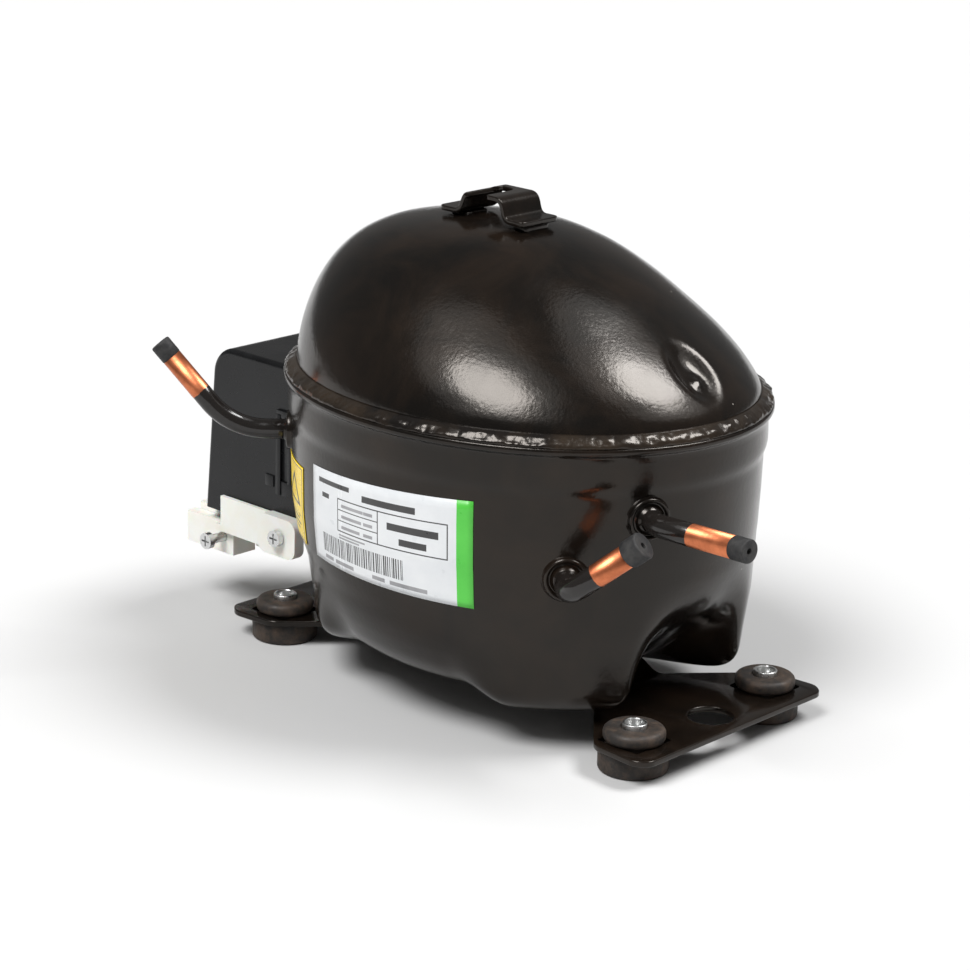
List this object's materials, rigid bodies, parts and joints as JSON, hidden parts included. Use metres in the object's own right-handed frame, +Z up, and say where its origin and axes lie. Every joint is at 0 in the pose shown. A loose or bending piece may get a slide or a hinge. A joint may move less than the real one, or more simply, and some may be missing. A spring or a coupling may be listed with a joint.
{
  "type": "hermetic reciprocating compressor",
  "caption": "Small hermetic reciprocating compressor: welded black steel shell on rubber feet, with tubes, relay cover and a hidden slider-driven piston pump.",
  "frame": {"origin": "centre of the four mounting holes, on the plane the rubber feet stand on", "axes": "+X towards the end with the suction and discharge tubes, -Y faces the rating label, +Z up"},
  "size_m": [0.2711, 0.1579, 0.1746],
  "materials": {
    "black_paint": "gloss black-brown enamel over steel",
    "weld": "rough weld under gloss enamel",
    "rubber": "matt black rubber",
    "zinc": "bright zinc plate",
    "copper": "bare drawn copper, black enamel near the shell",
    "paper": "printed film with a green band",
    "yellow": "yellow printed film",
    "black_plastic": "moulded black plastic",
    "nylon": "natural white nylon",
    "steel": "ground steel",
    "iron": "grey cast iron",
    "lamination": "stacked electrical steel",
    "winding": "enamelled copper wire",
    "aluminium": "die-cast aluminium",
    "gasket": "compressed fibre sheet",
    "muffler_plastic": "moulded heat-proof plastic"
  },
  "bodies": {
    "shell": {"lower_shell": "black_paint", "upper_shell": "black_paint", "weld_bead": "weld", "base_bracket_tube_end": "black_paint", "base_bracket_relay_end": "black_paint", "foot_front_tube_end": "rubber", "foot_back_tube_end": "rubber", "foot_front_relay_end": "rubber", "foot_back_relay_end": "rubber", "foot_sleeves": "zinc", "top_clip": "black_paint", "suction_tube": "copper", "discharge_tube": "copper", "process_tube": "copper", "rating_label": "paper", "warning_sticker": "yellow", "terminal_cup": "steel", "terminal_pins": "steel", "start_relay": "black_plastic", "overload_protector": "black_plastic", "cover_bracket": "black_paint", "cord_clamp": "nylon", "clamp_bar": "nylon", "clamp_screws": "zinc", "earth_screw": "zinc", "spring_lower_seats": "steel", "spring_front_tube_end": "steel", "spring_back_tube_end": "steel", "spring_front_relay_end": "steel", "spring_back_relay_end": "steel", "shock_loop": "copper"},
    "pump": {"crankcase": "iron", "thrust_washer": "steel", "cylinder_gasket": "gasket", "valve_plate": "steel", "reed_stop": "steel", "head_gasket": "gasket", "cylinder_head": "aluminium", "head_screws": "zinc", "suction_muffler": "muffler_plastic", "discharge_muffler": "steel", "stator_core": "lamination", "stator_windings": "winding", "stator_screws": "zinc", "spring_upper_seats": "steel"},
    "crank": {"crankshaft": "iron", "rotor_core": "lamination", "rotor_rings": "aluminium", "oil_pickup": "steel"},
    "slide": {"slide_block": "steel"},
    "oil_plug": {"oil_plug": "steel"},
    "piston": {"piston": "iron"},
    "suction_flap": {"suction_reed": "steel"},
    "discharge_flap": {"discharge_reed": "steel"},
    "cover": {"relay_cover": "black_plastic"},
    "suction_plug": {"suction_plug": "rubber"},
    "discharge_plug": {"discharge_plug": "rubber"},
    "process_plug": {"process_plug": "rubber"}
  },
  "joints": [
    {"name": "pump_bounce", "type": "slide", "parent": "shell", "child": "pump", "axis": [0, 0, 1], "range_m": [-0.0015, 0.0015], "stiffness_N_per_m": 20000, "springref_m": 0.0014, "deforming": ["spring_front_tube_end", "spring_back_tube_end", "spring_front_relay_end", "spring_back_relay_end", "shock_loop"]},
    {"name": "crank_turn", "type": "hinge", "parent": "pump", "child": "crank", "pos_m": [0, 0, 0.1], "axis": [0, 0, 1], "continuous": true},
    {"name": "slide_turn", "type": "hinge", "parent": "crank", "child": "slide", "pos_m": [0.006, 0, 0.119], "axis": [0, 0, 1], "continuous": true},
    {"name": "oil_plug_turn", "type": "hinge", "parent": "crank", "child": "oil_plug", "pos_m": [0.003, 0, 0.1235], "axis": [0, 0, 1], "continuous": true},
    {"name": "piston_travel", "type": "hinge", "parent": "oil_plug", "child": "piston", "pos_m": [0.006, 0, 0.119], "axis": [0, 0, 1], "continuous": true},
    {"name": "suction_flap_lift", "type": "hinge", "parent": "pump", "child": "suction_flap", "pos_m": [-0.0514, 0, 0.122], "axis": [0, -1, 0], "range_deg": [0, 2], "stiffness_Nm_per_rad": 0.05},
    {"name": "discharge_flap_lift", "type": "hinge", "parent": "pump", "child": "discharge_flap", "pos_m": [-0.0544, -0.01, 0.125], "axis": [0, 0, 1], "range_deg": [0, 4], "stiffness_Nm_per_rad": 0.05},
    {"name": "cover_pull", "type": "slide", "parent": "shell", "child": "cover", "axis": [-1, 0, 0], "range_m": [0, 0.08]},
    {"name": "suction_plug_pull", "type": "slide", "parent": "shell", "child": "suction_plug", "axis": [0.727, 0.2472, 0.6406], "range_m": [0, 0.03]},
    {"name": "discharge_plug_pull", "type": "slide", "parent": "shell", "child": "discharge_plug", "axis": [0.998, -0.0499, 0.0399], "range_m": [0, 0.03]},
    {"name": "process_plug_pull", "type": "slide", "parent": "shell", "child": "process_plug", "axis": [-0.5179, -0.3984, 0.757], "range_m": [0, 0.03]}
  ],
  "couplings": [
    {"joint": "slide_turn", "follows": "crank_turn", "ratio": -1},
    {"joint": "oil_plug_turn", "follows": "crank_turn", "ratio": -2},
    {"joint": "piston_travel", "follows": "crank_turn", "ratio": 1}
  ]
}
